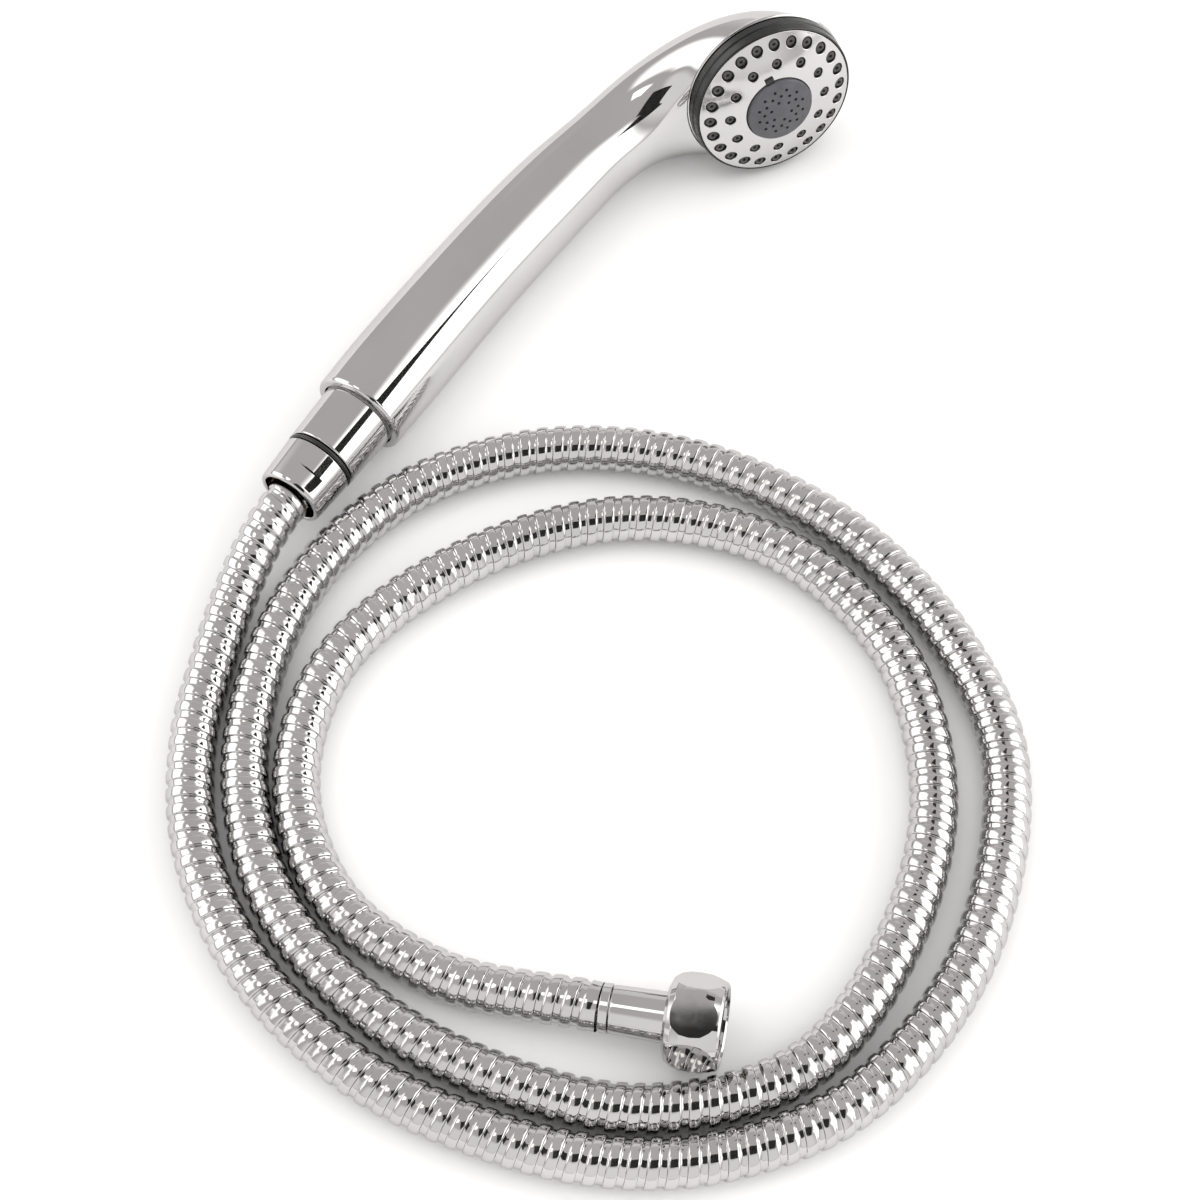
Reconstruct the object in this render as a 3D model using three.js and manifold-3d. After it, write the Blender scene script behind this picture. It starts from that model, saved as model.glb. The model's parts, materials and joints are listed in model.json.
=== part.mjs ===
// Handheld shower head lying on a table with its metal hose: a chromed handset with a turning spray face,
// a swivelling conical hose connector, a 1.5 m hose in a loose flat coil, and a loose union nut at its far end.
// Millimetres, +Z up. +X runs along the handle towards the head. The origin is under the middle of the handset.
import * as THREE from 'three';
import { ParametricGeometry } from 'three/addons/geometries/ParametricGeometry.js';
import { mergeVertices } from 'three/addons/utils/BufferGeometryUtils.js';
import Module from 'manifold-3d';

const wasm = await Module();
wasm.setup();

// ---- driving dimensions -------------------------------------------------------------------------------
const GAP = 0.3;                      // left between touching pieces
const FACETS = 28;                    // around the large turned pieces
const FINE_FACETS = 14;               // around the small ones

// the handset's own middle, in the layout's coordinates: it becomes the part's origin
const LAYOUT_MIDDLE = [-0.05, -0.76, -0.03];

// handset pose: the handle lies along +X, rolled so that the head's rim rests on the table as well
const HANDLE_END = [-77, 23.6, 15.05];
const ROLL = THREE.MathUtils.degToRad(15.8);

// chromed shell, a loft in the handset's own frame: x along the handle, y towards its back, z sideways.
// Each station is [front x, front y, back x, back y, half width]; the front is the sprayed side.
const HANDLE_STATIONS = [
  [0, -14.6, 0, 14.6, 14.6],
  [18, -15, 18, 15, 15],
  [51, -15.5, 52, 14, 14.8],
  [78, -16.8, 80, 12.3, 14.6],
  [104, -18.9, 107, 9.1, 14.1],
  [119.5, -20.6, 129, 4.2, 14],
  [131, -23.6, 153, -2.6, 16.3],
  [138.5, -26.3, 176.5, -20.5, 21.8],
  [141.8, -28.1, 188, -42.5, 25.6],
];
const SHELL_WALL = 2.2;
const SHELL_SLICES = 26;
const SHELL_STACKS = 18;

// spray head, in its own frame: z along the spray, x away from the handle, y sideways
const FACE_CENTRE = [162.1, -49.8, 0];
const SPRAY_TURN = THREE.MathUtils.degToRad(-124);   // spray direction, from the handle's direction
const RIM_BACK = 6.6;                 // shell rim, behind the faceplate's edge
const RIM_RADIUS = 27.2;
const FACE_TURN = THREE.MathUtils.degToRad(95.3);    // where the face's key points at rest
const PLATE_RADIUS = 25.75;
const PLATE_RISE = 5.2;               // height of the dome
const PLATE_THICKNESS = 1.2;
const INSERT_RADIUS = 11;
const OUTER_HOLES = { count: 24, ring: 22.4, radius: 1.9, turn: 0 };
const INNER_HOLES = { count: 12, ring: 16.3, radius: 1.7, turn: Math.PI / 12 };
const NOZZLE_RADIUS = 1.35;
const INSERT_PROUD = 1;
const PIN_RINGS = [
  { count: 6, ring: 3.57, turn: 0 },
  { count: 12, ring: 5.78, turn: Math.PI / 12 },
  { count: 12, ring: 7.68, turn: 0 },
];
const PIN_RADIUS = 0.5;
const KEY = { width: 3, from: 9.6, to: 13.2, depth: 1.5 };

// valve inside the head
const BASE_RADIUS = 21.3;
const BASE_FRONT = -9.6;
const BASE_BACK = -12.3;
const PORT_RING = 9.5;
const DETENT_RING = 13.5;
const BASE_SCREW = { ring: 17, turn: THREE.MathUtils.degToRad(75) };
const ELBOW_DEPTH = -17;
const WATERWAY = { outer: 5.6, bore: 4.2, sides: 14 };
const WATERWAY_ROUTE = [
  [9, 0], [50, -0.7], [90, -3.2], [120, -8], [134, -12.2], [148.4, -20.05], [153.4, -23.4], [158.5, -26.85],
];

// hose: the route of its centre line over the table, in the layout's coordinates, [x, y] or [x, y, z]
const HOSE_RADIUS = 6.95;
const HOSE_HEIGHT = 7.1;
const HOSE_SIDES = 10;
const HOSE_STEPS = 80;
const HOSE_ROUTE = [
  [-109.3, 23.6, 15.05], [-121, 23.5, 14.2], [-134, 21.9, 11.7], [-148, 18.6, 8.8], [-164, 13, 7.3],
  [-186, 3.2], [-209.5, -14.5], [-225.5, -36], [-236.2, -62], [-240.4, -95],
  [-237, -124], [-226.9, -156.4], [-208.2, -184.8], [-174.6, -208.9], [-122, -215.2],
  [-66.3, -194.5], [-40, -160.5], [-26.6, -117], [-31, -68], [-51.5, -29],
  [-84, -3], [-121, 5.8], [-157, -0.2], [-190, -17.9], [-214.5, -47.2],
  [-224.4, -84], [-221.8, -123], [-206.2, -164.1], [-173.5, -192.7], [-130, -196.3],
  [-86, -182.5], [-53, -149.5], [-42.9, -104], [-59, -61.5], [-98, -29.5],
  [-145, -16.9], [-182.5, -30.4], [-204.3, -60], [-206.2, -96, 7.3], [-191.1, -138.7, 11.3],
];

// far end of the hose: z along its axis from the middle of the union nut, out of the open end
const TAIL_CENTRE = [-181.2, -162.6, 13.3];
const TAIL_HEADING = THREE.MathUtils.degToRad(-67.5);
const TAIL_PITCH = THREE.MathUtils.degToRad(4.5);
const NUT_FLATS = 24;                 // across the spanner flats
const NUT_TURN = THREE.MathUtils.degToRad(10.5);
const THREAD_BORE = 10.45;            // radius inside the G 1/2 thread
const CONE_FLAT = { distance: 9.85, turn: THREE.MathUtils.degToRad(-39.8), from: 27.6, to: 33.2 };

// ---- materials ----------------------------------------------------------------------------------------
const CHROME = { color: 0xc9c7c6, roughness: 0.08, metalness: 1 };
const STEEL = { color: 0xb4b3b1, roughness: 0.3, metalness: 1 };
const BRASS = { color: 0xb59a55, roughness: 0.35, metalness: 1 };
const BLACK_PLASTIC = { color: 0x2c2b2c, roughness: 0.35, metalness: 0 };
const GREY_PLASTIC = { color: 0x55545a, roughness: 0.5, metalness: 0 };
const WHITE_PLASTIC = { color: 0xd8d8d4, roughness: 0.5, metalness: 0 };
const RUBBER = { color: 0x262626, roughness: 0.8, metalness: 0 };
const MAT_RUBBER = { color: 0x4a4747, roughness: 0.7, metalness: 0 };

// ---- making solids ------------------------------------------------------------------------------------
function solid(geometry) {
  const bare = geometry.clone();
  bare.deleteAttribute('normal');
  bare.deleteAttribute('uv');
  const merged = mergeVertices(bare, 1e-4);
  return new wasm.Manifold(new wasm.Mesh({
    numProp: 3,
    vertProperties: merged.attributes.position.array,
    triVerts: new Uint32Array(merged.index.array),
  }));
}

function geometryOf(manifold) {
  const mesh = manifold.getMesh();
  const geometry = new THREE.BufferGeometry();
  geometry.setAttribute('position', new THREE.BufferAttribute(mesh.vertProperties, 3));
  geometry.setIndex(new THREE.BufferAttribute(mesh.triVerts, 1));
  return geometry;
}

// A profile of [radius, z] turned about Z. It starts and ends on the axis, or closes on itself.
function turned(profile, facets = FACETS) {
  const points = profile.map(([radius, z]) => new THREE.Vector2(radius, z));
  return new THREE.LatheGeometry(points, facets).rotateX(Math.PI / 2);
}

function disc(radius, from, to, facets = FINE_FACETS) {
  return turned([[0, from], [radius, from], [radius, to], [0, to]], facets);
}

// A turned ring: its outer profile from low z to high z, then straight back down the bore.
function ring(outer, bore, facets = FACETS) {
  const low = outer[0][1];
  const high = outer[outer.length - 1][1];
  return turned([...outer, [bore, high], [bore, low], outer[0]], facets);
}

function plainRing(radius, bore, from, to, facets = FACETS) {
  return ring([[radius, from], [radius, to]], bore, facets);
}

function oRing(inner, outer, middle) {
  const half = (outer - inner) / 2;
  const section = [];
  for (let i = 0; i <= 6; i += 1) {
    const angle = (i / 6) * 2 * Math.PI;
    section.push([inner + half + half * Math.cos(angle), middle + half * Math.sin(angle)]);
  }
  return turned(section, 20);
}

function spring(radius, wire, from, to, turns) {
  class Helix extends THREE.Curve {
    getPoint(t, target = new THREE.Vector3()) {
      const angle = t * turns * 2 * Math.PI;
      return target.set(radius * Math.cos(angle), radius * Math.sin(angle), from + t * (to - from));
    }
  }
  const section = new THREE.Shape().absarc(0, 0, wire, 0, 2 * Math.PI);
  return new THREE.ExtrudeGeometry(section, {
    steps: turns * 9, curveSegments: 3, bevelEnabled: false, extrudePath: new Helix(),
  });
}

function cylinderAt(radius, from, to, ringRadius, angle, facets = FINE_FACETS) {
  const piece = disc(radius, from, to, facets);
  return piece.translate(ringRadius * Math.cos(angle), ringRadius * Math.sin(angle), 0);
}

function domeHeight(radius) {
  return PLATE_RISE * (1 - (radius / PLATE_RADIUS) ** 2);
}

// Profile points along the dome, offset down by depth, from one radius to another.
function domeLine(from, to, depth, steps) {
  const points = [];
  for (let i = 0; i <= steps; i += 1) {
    const radius = from + ((to - from) * i) / steps;
    points.push([radius, domeHeight(radius) - depth]);
  }
  return points;
}

function holesOf({ count, ring: ringRadius, radius, turn }, from, to, facets) {
  const pieces = [];
  for (let i = 0; i < count; i += 1) {
    const angle = turn + (i / count) * 2 * Math.PI;
    pieces.push(solid(cylinderAt(radius, from, to, ringRadius, angle, facets)));
  }
  return pieces;
}

function add(group, name, geometry, finish) {
  const mesh = new THREE.Mesh(geometry, new THREE.MeshStandardMaterial({ ...finish, flatShading: true }));
  mesh.name = name;
  group.add(mesh);
  return mesh;
}

// ---- frames -------------------------------------------------------------------------------------------
const root = new THREE.Group();
const layout = new THREE.Group();
layout.position.set(...LAYOUT_MIDDLE).negate();
root.add(layout);

const handset = new THREE.Group();
handset.position.set(...HANDLE_END);
handset.rotation.x = -ROLL;
layout.add(handset);

// inlet frame: z runs out of the handle's end, towards the hose
const inlet = new THREE.Group();
inlet.rotation.y = -Math.PI / 2;
handset.add(inlet);

const sprayAxis = new THREE.Vector3(Math.cos(SPRAY_TURN), Math.sin(SPRAY_TURN), 0);
const sideways = new THREE.Vector3(0, 0, 1);
const headTop = new THREE.Vector3().crossVectors(sideways, sprayAxis);

const head = new THREE.Group();
head.position.set(...FACE_CENTRE);
head.quaternion.setFromRotationMatrix(new THREE.Matrix4().makeBasis(headTop, sideways, sprayAxis));
handset.add(head);

// turning face: the head's frame with x along the key
const face = new THREE.Group();
face.rotation.z = FACE_TURN;
head.add(face);

const tail = new THREE.Group();
tail.position.set(...TAIL_CENTRE);
tail.rotation.set(0, Math.PI / 2 - TAIL_PITCH, TAIL_HEADING, 'ZYX');
layout.add(tail);

// ---- handset shell and waterway -----------------------------------------------------------------------
function shellRings() {
  const rim = new THREE.Vector3(...FACE_CENTRE).addScaledVector(sprayAxis, -RIM_BACK);
  const front = rim.clone().addScaledVector(headTop, -RIM_RADIUS);
  const back = rim.clone().addScaledVector(headTop, RIM_RADIUS);
  const stations = [...HANDLE_STATIONS, [front.x, front.y, back.x, back.y, RIM_RADIUS]];
  const along = (pick) => new THREE.CatmullRomCurve3(stations.map(pick));
  return {
    front: along(([x, y, , , width]) => new THREE.Vector3(x, y, width)),
    back: along(([, , x, y, width]) => new THREE.Vector3(x, y, width)),
  };
}

// A point of the shell at t along the handle and angle about it, inset from its outer surface.
function shellPoint(rings, t, angle, inset, target) {
  const front = rings.front.getPoint(t);
  const back = rings.back.getPoint(t);
  const width = (front.z + back.z) / 2 - inset;
  front.z = 0;
  back.z = 0;
  const middle = front.clone().lerp(back, 0.5);
  const half = back.sub(middle);
  half.setLength(half.length() - inset);
  return target.copy(middle).addScaledVector(half, Math.cos(angle)).setZ(width * Math.sin(angle));
}

// Outside from the inlet to the rim, then inside back to the inlet.
function shellGeometry(rings) {
  return new ParametricGeometry((u, v, target) => {
    const outside = v < 0.5 - 1e-6;
    const lap = Math.round(v * (2 * SHELL_STACKS + 2));
    const step = outside ? lap : 2 * SHELL_STACKS + 1 - lap;
    const closing = lap === 2 * SHELL_STACKS + 2;
    const t = closing ? 0 : step / SHELL_STACKS;
    const inset = outside || closing ? 0 : SHELL_WALL;
    shellPoint(rings, Math.min(t, 1), u * 2 * Math.PI, inset, target);
  }, SHELL_SLICES, 2 * SHELL_STACKS + 2);
}

// The solid that the outer surface bounds, closed flat at both ends.
function shellBody(rings) {
  return new ParametricGeometry((u, v, target) => {
    const lap = Math.round(v * (SHELL_STACKS + 2)) - 1;
    const t = THREE.MathUtils.clamp(lap / SHELL_STACKS, 0, 1);
    shellPoint(rings, t, u * 2 * Math.PI, 0, target);
    if (lap < 0 || lap > SHELL_STACKS) {
      shellPoint(rings, t, 0, 0, target);
      const opposite = shellPoint(rings, t, Math.PI, 0, new THREE.Vector3());
      target.add(opposite).multiplyScalar(0.5);
    }
  }, SHELL_SLICES, SHELL_STACKS + 2);
}

function handleShell() {
  const rings = shellRings();
  const body = solid(shellBody(rings));
  let shell = solid(shellGeometry(rings));
  head.updateMatrix();
  for (const side of [-1, 1]) {
    const angle = side * BASE_SCREW.turn;
    const column = cylinderAt(3.4, -34, BASE_BACK - GAP, BASE_SCREW.ring, angle, 10).applyMatrix4(head.matrix);
    const pilot = cylinderAt(1.6, -20.5, BASE_BACK + 1, BASE_SCREW.ring, angle, 8).applyMatrix4(head.matrix);
    shell = shell.add(solid(column).intersect(body)).subtract(solid(pilot));
  }
  add(handset, 'handle_shell', geometryOf(shell), CHROME);
}

function waterwayTube() {
  const route = new THREE.CatmullRomCurve3(WATERWAY_ROUTE.map(([x, y]) => new THREE.Vector3(x, y, 0)));
  const section = new THREE.Shape().absarc(0, 0, WATERWAY.outer, 0, 2 * Math.PI);
  section.holes.push(new THREE.Path().absarc(0, 0, WATERWAY.bore, 0, 2 * Math.PI));
  const tube = new THREE.ExtrudeGeometry(section, {
    steps: 18, curveSegments: WATERWAY.sides / 2, bevelEnabled: false, extrudePath: route,
  });
  add(handset, 'waterway_tube', tube, WHITE_PLASTIC);
}

// ---- inlet and swivelling connector -------------------------------------------------------------------
function inletPieces() {
  const spigot = turned([
    [10.6, -24], [10.6, -4.8], [11.95, -4.8], [11.95, -0.6], [10.2, -0.6], [10.2, 12],
    [7, 12], [7, 10.4], [4.4, 10.4], [4.4, -8.7], [5.9, -8.7], [5.9, -14.3], [7.3, -14.3],
    [7.3, -17.1], [5.9, -17.1], [5.9, -24], [10.6, -24],
  ]);
  add(inlet, 'inlet_spigot', spigot, WHITE_PLASTIC);
  add(inlet, 'spigot_oring', oRing(5.95, 6.95, -15.7), RUBBER);

  let screen = solid(disc(6.6, 10.7, 11.5, 24));
  const meshHoles = holesOf({ count: 6, ring: 3.9, radius: 1.1, turn: 0 }, 10, 12, 8);
  for (const hole of [...meshHoles, solid(disc(1.1, 10, 12, 8))]) screen = screen.subtract(hole);
  add(inlet, 'filter_screen', geometryOf(screen), STEEL);
  add(inlet, 'inlet_gasket', plainRing(9.6, 4.8, 12.3, 13.9, 24), RUBBER);

  const collar = turned([
    [11.95, 0.4], [11.85, 4], [11.35, 18.3], [11.1, 18.6], [7, 18.6], [7, 16.8], [10.55, 16.8],
    [10.55, 0.4], [11.95, 0.4],
  ]);
  add(inlet, 'collar_nut', collar, CHROME);
  add(inlet, 'slip_ring', ring([[11.2, 18.9], [11.3, 19.5], [11.2, 20.1]], 7, FACETS), BLACK_PLASTIC);
}

function swivelPieces() {
  const stem = turned([
    [9.6, 14.2], [9.6, 15.4], [6.6, 15.4], [6.6, 17], [5.7, 17], [5.7, 18.4], [6.6, 18.4],
    [6.6, 24.4], [8.2, 24.4], [8.2, 26], [5, 26], [5, 31.6], [4, 31.6], [4, 14.2], [9.6, 14.2],
  ], 24);
  add(inlet, 'swivel_stem', stem, BRASS);
  add(inlet, 'swivel_washer', plainRing(9.8, 6.9, 15.7, 16.5, 24), WHITE_PLASTIC);
  add(inlet, 'swivel_oring', oRing(5.95, 6.75, 17.7), RUBBER);

  let cone = solid(turned([
    [10.9, 20.4], [11.15, 20.7], [10.45, 33.6], [10.2, 34.4], [9.7, 34.8], [9, 34.8], [8.6, 34.3],
    [8.6, 24.1], [6.9, 24.1], [6.9, 20.4], [10.9, 20.4],
  ]));
  const cutDepth = 4;
  for (const turn of [CONE_FLAT.turn, CONE_FLAT.turn + Math.PI]) {
    const cutter = new THREE.BoxGeometry(cutDepth, 20, CONE_FLAT.to - CONE_FLAT.from);
    cutter.translate(CONE_FLAT.distance + cutDepth / 2, 0, (CONE_FLAT.from + CONE_FLAT.to) / 2);
    cone = cone.subtract(solid(cutter.rotateZ(turn)));
  }
  add(inlet, 'cone_nut', geometryOf(cone), CHROME);
}

// ---- fixed half of the spray head ---------------------------------------------------------------------
// Along the head's -x axis, where the waterway arrives.
function elbowCylinder(radius, from, to, facets = FINE_FACETS) {
  return disc(radius, from, to, facets).rotateY(-Math.PI / 2).translate(0, 0, ELBOW_DEPTH);
}

function diverterBase() {
  let base = solid(disc(BASE_RADIUS, BASE_BACK, BASE_FRONT, FACETS));
  base = base.add(solid(disc(4.5, -14.5, -4.3)));
  base = base.add(solid(elbowCylinder(7.3, 4.5, 23)));
  base = base.add(solid(cylinderAt(3, -16.2, BASE_FRONT - 1, DETENT_RING, 0)));
  base = base.subtract(solid(elbowCylinder(WATERWAY.outer + GAP, 15.4, 24)));
  base = base.subtract(solid(elbowCylinder(WATERWAY.bore, 6.2, 16)));
  base = base.subtract(solid(cylinderAt(3.9, -15, BASE_FRONT + 1, PORT_RING, Math.PI)));
  base = base.subtract(solid(disc(2, -13.8, 0, 10)));
  base = base.subtract(solid(cylinderAt(1.8, -15.8, BASE_FRONT + 1, DETENT_RING, 0, 10)));
  for (const side of [-1, 1]) {
    const angle = side * BASE_SCREW.turn;
    base = base.subtract(solid(cylinderAt(1.7, -20, BASE_FRONT + 1, BASE_SCREW.ring, angle, 10)));
    base = base.subtract(solid(cylinderAt(2.9, BASE_FRONT - 1.6, BASE_FRONT + 1, BASE_SCREW.ring, angle, 12)));
  }
  add(head, 'diverter_base', geometryOf(base), WHITE_PLASTIC);
}

function screwBody(shank, length, headRadius, headHeight, slotWidth) {
  const blank = turned([
    [0, -length], [shank, -length], [shank, 0], [headRadius, 0], [headRadius, headHeight], [0, headHeight],
  ], 12);
  const slot = new THREE.BoxGeometry(2 * headRadius - 1, slotWidth, headHeight).translate(0, 0, headHeight * 0.9);
  const cross = slot.clone().rotateZ(Math.PI / 2);
  return solid(blank).subtract(solid(slot)).subtract(solid(cross));
}

function baseHardware() {
  for (const side of [-1, 1]) {
    const angle = side * BASE_SCREW.turn;
    const screw = screwBody(1.3, 7.5, 2.6, 1, 0.6).translate([
      BASE_SCREW.ring * Math.cos(angle), BASE_SCREW.ring * Math.sin(angle), BASE_FRONT - 1.3,
    ]);
    add(head, side < 0 ? 'base_screw_1' : 'base_screw_2', geometryOf(screw), STEEL);
  }
  const portX = -PORT_RING;
  const seal = turned([[3.6, -12.4], [3.6, -9.2], [2, -9.2], [2, -12.4], [3.6, -12.4]]).translate(portX, 0, 0);
  add(head, 'port_seal', seal, RUBBER);
  add(head, 'port_spring', spring(2.9, 0.3, -14.6, -12.9, 2).translate(portX, 0, 0), STEEL);
  const ball = new THREE.SphereGeometry(1.5, 10, 8).translate(DETENT_RING, 0, -10);
  add(head, 'detent_ball', ball, STEEL);
  add(head, 'detent_spring', spring(1.2, 0.25, -15.3, -12, 3).translate(DETENT_RING, 0, 0), STEEL);
  add(head, 'hub_oring', oRing(4.85, 5.85, -5.7), RUBBER);
  add(head, 'face_washer', plainRing(6.5, 2, -4, -3.3, FINE_FACETS), STEEL);
  add(head, 'face_screw', geometryOf(screwBody(1.7, 10, 4.2, 2, 1).translate([0, 0, -3])), STEEL);
}

// ---- turning half of the spray head -------------------------------------------------------------------
function valvePlate() {
  let plate = solid(turned([
    [22.4, -8.9], [22.4, -6.9], [6.6, -6.9], [6.6, -4.4], [5, -4.4], [5, -8.9], [12.3, -8.9],
    [12.3, -8], [14.7, -8], [14.7, -8.9], [22.4, -8.9],
  ]));
  for (let mode = 0; mode < 3; mode += 1) {
    const angle = Math.PI - FACE_TURN + (mode * Math.PI) / 2;
    plate = plate.subtract(solid(cylinderAt(1.5, -10, -6, PORT_RING, angle, 10)));
  }
  const groove = turned([[4.8, -6.5], [6.1, -6.5], [6.1, -4.9], [4.8, -4.9], [4.8, -6.5]], 24);
  add(face, 'valve_plate', geometryOf(plate.subtract(solid(groove))), WHITE_PLASTIC);
}

function distributor() {
  const wallTop = (radius) => domeHeight(radius) - PLATE_THICKNESS - PLATE_THICKNESS - 3 * GAP;
  const profile = [
    [24.5, -6.2], [24.5, wallTop(24.5)], [23.4, wallTop(24.5)], [23.4, -4.6], [20, -4.6],
    [20, wallTop(20)], [18.9, wallTop(20)], [18.9, -4.6], [13, -4.6], [13, wallTop(13)],
    [11.6, wallTop(13)], [11.6, -4.6], [7, -4.6], [7, -6.2], [24.5, -6.2],
  ];
  let piece = solid(turned(profile));
  for (const ports of [{ count: 6, ring: 21.7, radius: 1.2, turn: 0 }, { count: 6, ring: 16, radius: 1.4, turn: 0 },
    { count: 6, ring: 9.3, radius: 1.2, turn: 0 }]) {
    for (const hole of holesOf(ports, -7, -4, 6)) piece = piece.subtract(hole);
  }
  add(face, 'distributor', geometryOf(piece), GREY_PLASTIC);
}

function nozzleMat() {
  const under = PLATE_THICKNESS + GAP;
  const bore = 11.9;
  const edge = 24.2;
  const upper = domeLine(edge, bore, under, 3);
  const lower = domeLine(bore, edge, under + PLATE_THICKNESS, 3);
  let mat = solid(turned([...upper, ...lower, upper[0]]));
  for (const holes of [OUTER_HOLES, INNER_HOLES]) {
    const tip = domeHeight(holes.ring) - 0.5;
    const nozzles = { ...holes, radius: NOZZLE_RADIUS };
    for (const nozzle of holesOf(nozzles, tip - 1.7, tip, 6)) mat = mat.add(nozzle);
  }
  add(face, 'nozzle_mat', geometryOf(mat), MAT_RUBBER);
}

function faceplate() {
  const bore = INSERT_RADIUS + GAP;
  const upper = domeLine(PLATE_RADIUS, bore, 0, 4);
  const lower = domeLine(bore, PLATE_RADIUS - 0.4, PLATE_THICKNESS, 4);
  let plate = solid(turned([...upper, ...lower, upper[0]]));
  for (const holes of [OUTER_HOLES, INNER_HOLES]) {
    for (const hole of holesOf(holes, -4, 8, 8)) plate = plate.subtract(hole);
  }
  const notch = new THREE.BoxGeometry(KEY.to - KEY.from + 2 * GAP, KEY.width + 2 * GAP, 10);
  notch.translate((KEY.from + KEY.to) / 2, 0, 2);
  add(face, 'faceplate', geometryOf(plate.subtract(solid(notch))), CHROME);
}

function centreInsert() {
  const edge = [INSERT_RADIUS, domeHeight(INSERT_RADIUS) + INSERT_PROUD - 0.4];
  const upper = domeLine(INSERT_RADIUS - 0.4, 0, -INSERT_PROUD, 3);
  let insert = solid(turned([edge, ...upper, [0, 3], [9.2, 3], [9.2, 1.2], [10.8, 1.2], edge]));
  const key = new THREE.BoxGeometry(KEY.to - KEY.from, KEY.width, KEY.depth);
  key.translate((KEY.from + KEY.to) / 2, 0, domeHeight(KEY.to) + 0.1);
  insert = insert.add(solid(key));
  for (const pins of PIN_RINGS) {
    for (const pin of holesOf({ ...pins, radius: PIN_RADIUS }, 2, 7, 4)) insert = insert.subtract(pin);
  }
  add(face, 'centre_insert', geometryOf(insert), GREY_PLASTIC);
}

function bezelRing() {
  const section = [
    [26.7, -6.3], [26.8, -5.8], [26.8, -3.4], [26.4, -3.2], [26.4, -2.8], [26.7, -2.6],
    [26.45, -0.4], [26.2, 0], [26.05, 0], [26.05, -1.5], [24.8, -1.9], [24.8, -6.3], [26.7, -6.3],
  ];
  add(face, 'bezel_ring', turned(section, 36), BLACK_PLASTIC);
}

// ---- hose and its far end -----------------------------------------------------------------------------
function hoseTube() {
  const points = HOSE_ROUTE.map(([x, y, z = HOSE_HEIGHT]) => new THREE.Vector3(x, y, z));
  const section = new THREE.Shape().absarc(0, 0, HOSE_RADIUS, 0, 2 * Math.PI);
  const tube = new THREE.ExtrudeGeometry(section, {
    steps: HOSE_STEPS, curveSegments: HOSE_SIDES / 2, bevelEnabled: false,
    extrudePath: new THREE.CatmullRomCurve3(points),
  });
  add(layout, 'hose_tube', tube, CHROME);
}

function tailPieces() {
  add(tail, 'end_collar', plainRing(6.8, 5.7, -25.6, -23, 24), CHROME);
  const sleeve = turned([[6.5, -22.7], [6.6, -22.3], [7, -6], [7, -3.9], [5.7, -3.9], [5.7, -22.7], [6.5, -22.7]]);
  add(tail, 'crimp_sleeve', sleeve, CHROME);
  const stem = turned([
    [5.4, -22.4], [5.4, -3.6], [7, -3.6], [7, -3], [9.4, -3], [9.4, -1.6], [4, -1.6], [4, -22.4], [5.4, -22.4],
  ], 24);
  add(tail, 'tail_stem', stem, BRASS);
  add(tail, 'wall_gasket', plainRing(9.8, 5, -1.3, 0.7, 24), RUBBER);
  add(tail, 'nut_washer', plainRing(9.8, 7.3, -4.3, -3.3, 24), WHITE_PLASTIC);
}

function wallNut() {
  const barrel = turned([
    [9.4, -7.8], [11.2, -7], [12.5, -5.2], [13.15, -2.8], [13.3, 0], [13.15, 2.8], [12.55, 5.2],
    [11.8, 7.2], [11.2, 7.8], [THREAD_BORE + 0.3, 7.8], [THREAD_BORE, 7.3], [THREAD_BORE, -4.6],
    [7.55, -4.6], [7.55, -7.8], [9.4, -7.8],
  ], 36);
  const hexCorner = NUT_FLATS / 2 / Math.cos(Math.PI / 6);
  const hexagon = new THREE.CylinderGeometry(hexCorner, hexCorner, 20, 6).rotateX(Math.PI / 2);
  hexagon.rotateZ(NUT_TURN);
  add(tail, 'wall_nut', geometryOf(solid(barrel).intersect(solid(hexagon))), CHROME);
}

handleShell();
waterwayTube();
inletPieces();
swivelPieces();
diverterBase();
baseHardware();
valvePlate();
distributor();
nozzleMat();
faceplate();
centreInsert();
bezelRing();
hoseTube();
tailPieces();
wallNut();

export default root;
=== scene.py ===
"""Looks for a handheld shower head with its metal hose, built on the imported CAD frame.

Lengths in this file are millimetres until a mesh is made; Blender's own are metres. Each piece is made in
the frame it belongs to (handset, inlet, head, face or tail), which is then placed as the CAD model has it.
"""

import json
import math

import bpy
import numpy as np
from mathutils import Matrix, Vector, geometry


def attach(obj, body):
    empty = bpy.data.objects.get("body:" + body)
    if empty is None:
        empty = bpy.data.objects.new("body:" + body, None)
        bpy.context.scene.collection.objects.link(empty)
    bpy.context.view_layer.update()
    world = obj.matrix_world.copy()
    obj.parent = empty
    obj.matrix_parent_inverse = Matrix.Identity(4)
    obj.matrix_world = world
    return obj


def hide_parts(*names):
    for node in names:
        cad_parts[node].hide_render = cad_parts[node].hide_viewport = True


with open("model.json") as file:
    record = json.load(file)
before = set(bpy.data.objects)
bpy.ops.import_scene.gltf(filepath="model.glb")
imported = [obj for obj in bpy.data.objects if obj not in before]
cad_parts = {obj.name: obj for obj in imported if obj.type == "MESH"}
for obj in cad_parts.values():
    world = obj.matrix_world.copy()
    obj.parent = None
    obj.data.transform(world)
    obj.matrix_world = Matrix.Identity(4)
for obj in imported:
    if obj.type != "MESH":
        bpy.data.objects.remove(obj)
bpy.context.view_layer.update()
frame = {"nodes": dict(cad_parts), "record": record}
scene = bpy.context.scene

MM = 0.001
TAU = 2 * math.pi

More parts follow.
